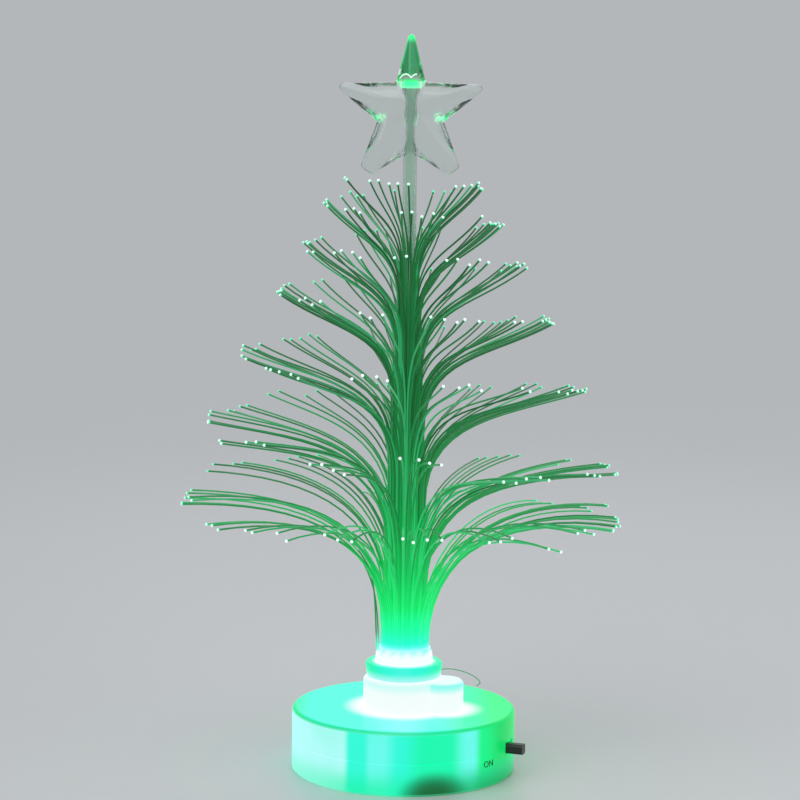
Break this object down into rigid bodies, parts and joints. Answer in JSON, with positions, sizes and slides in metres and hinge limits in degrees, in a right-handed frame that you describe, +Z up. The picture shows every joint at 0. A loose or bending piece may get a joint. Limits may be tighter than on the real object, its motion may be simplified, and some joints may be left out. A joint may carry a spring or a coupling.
{
  "type": "fiber optic christmas tree",
  "caption": "Small tabletop tree of rolled plastic optical fibres that plug into a round translucent battery base with a side switch, topped with a clear star.",
  "frame": {"origin": "centre of the base's round underside", "axes": "+Z up along the tree, -Y to the front that the picture shows, +X to the right"},
  "size_m": [0.1175, 0.1169, 0.1958],
  "materials": {
    "base_plastic": "translucent white moulding lit green from inside",
    "screw_steel": "plated",
    "contact_metal": "nickel-plated strip",
    "cell_steel": "polished steel can",
    "board": "green solder mask",
    "lamp_resin": "clear resin lens, lit",
    "resistor_body": "lacquered",
    "black_plastic": "moulded black",
    "red_insulation": "soft insulation",
    "black_insulation": "soft insulation",
    "glue": "frosted hot-melt glue",
    "fibre": "clear plastic fibre carrying green light",
    "clear_plastic": "clear moulded plastic"
  },
  "bodies": {
    "base": {"top_shell": "base_plastic", "bottom_cover": "base_plastic", "cover_screws": "screw_steel", "button_cell_1": "cell_steel", "button_cell_2": "cell_steel", "button_cell_3": "cell_steel", "bridge_contact": "contact_metal", "positive_contact": "contact_metal", "negative_contact": "contact_metal", "circuit_board": "board", "led_lamp": "lamp_resin", "led_legs": "contact_metal", "resistor": "resistor_body", "switch_housing": "cell_steel", "switch_terminals": "contact_metal", "red_wire": "red_insulation", "black_wire": "black_insulation"},
    "battery_cover": {"battery_door": "base_plastic", "door_contact": "contact_metal"},
    "lever": {"switch_lever": "black_plastic"},
    "tree": {"ferrule": "base_plastic", "glue_ring": "glue", "centre_tube": "clear_plastic", "fibre_tier_1": "fibre", "fibre_tier_2": "fibre", "fibre_tier_3": "fibre", "fibre_tier_4": "fibre", "fibre_tier_5": "fibre", "fibre_tier_6": "fibre", "fibre_tier_7": "fibre"},
    "topper": {"star": "clear_plastic"}
  },
  "joints": [
    {"name": "switch_slide", "type": "slide", "parent": "base", "child": "lever", "axis": [0.3256, 0.9455, 0], "range_m": [0, 0.003]},
    {"name": "door_twist", "type": "hinge", "parent": "base", "child": "battery_cover", "pos_m": [0.00651, -0.00897, 0.001], "axis": [0, 0, 1], "range_deg": [0, 25]},
    {"name": "tree_pull", "type": "slide", "parent": "base", "child": "tree", "axis": [0, 0, 1], "range_m": [0, 0.012]},
    {"name": "star_pull", "type": "slide", "parent": "tree", "child": "topper", "axis": [0, 0, 1], "range_m": [0, 0.022]}
  ]
}
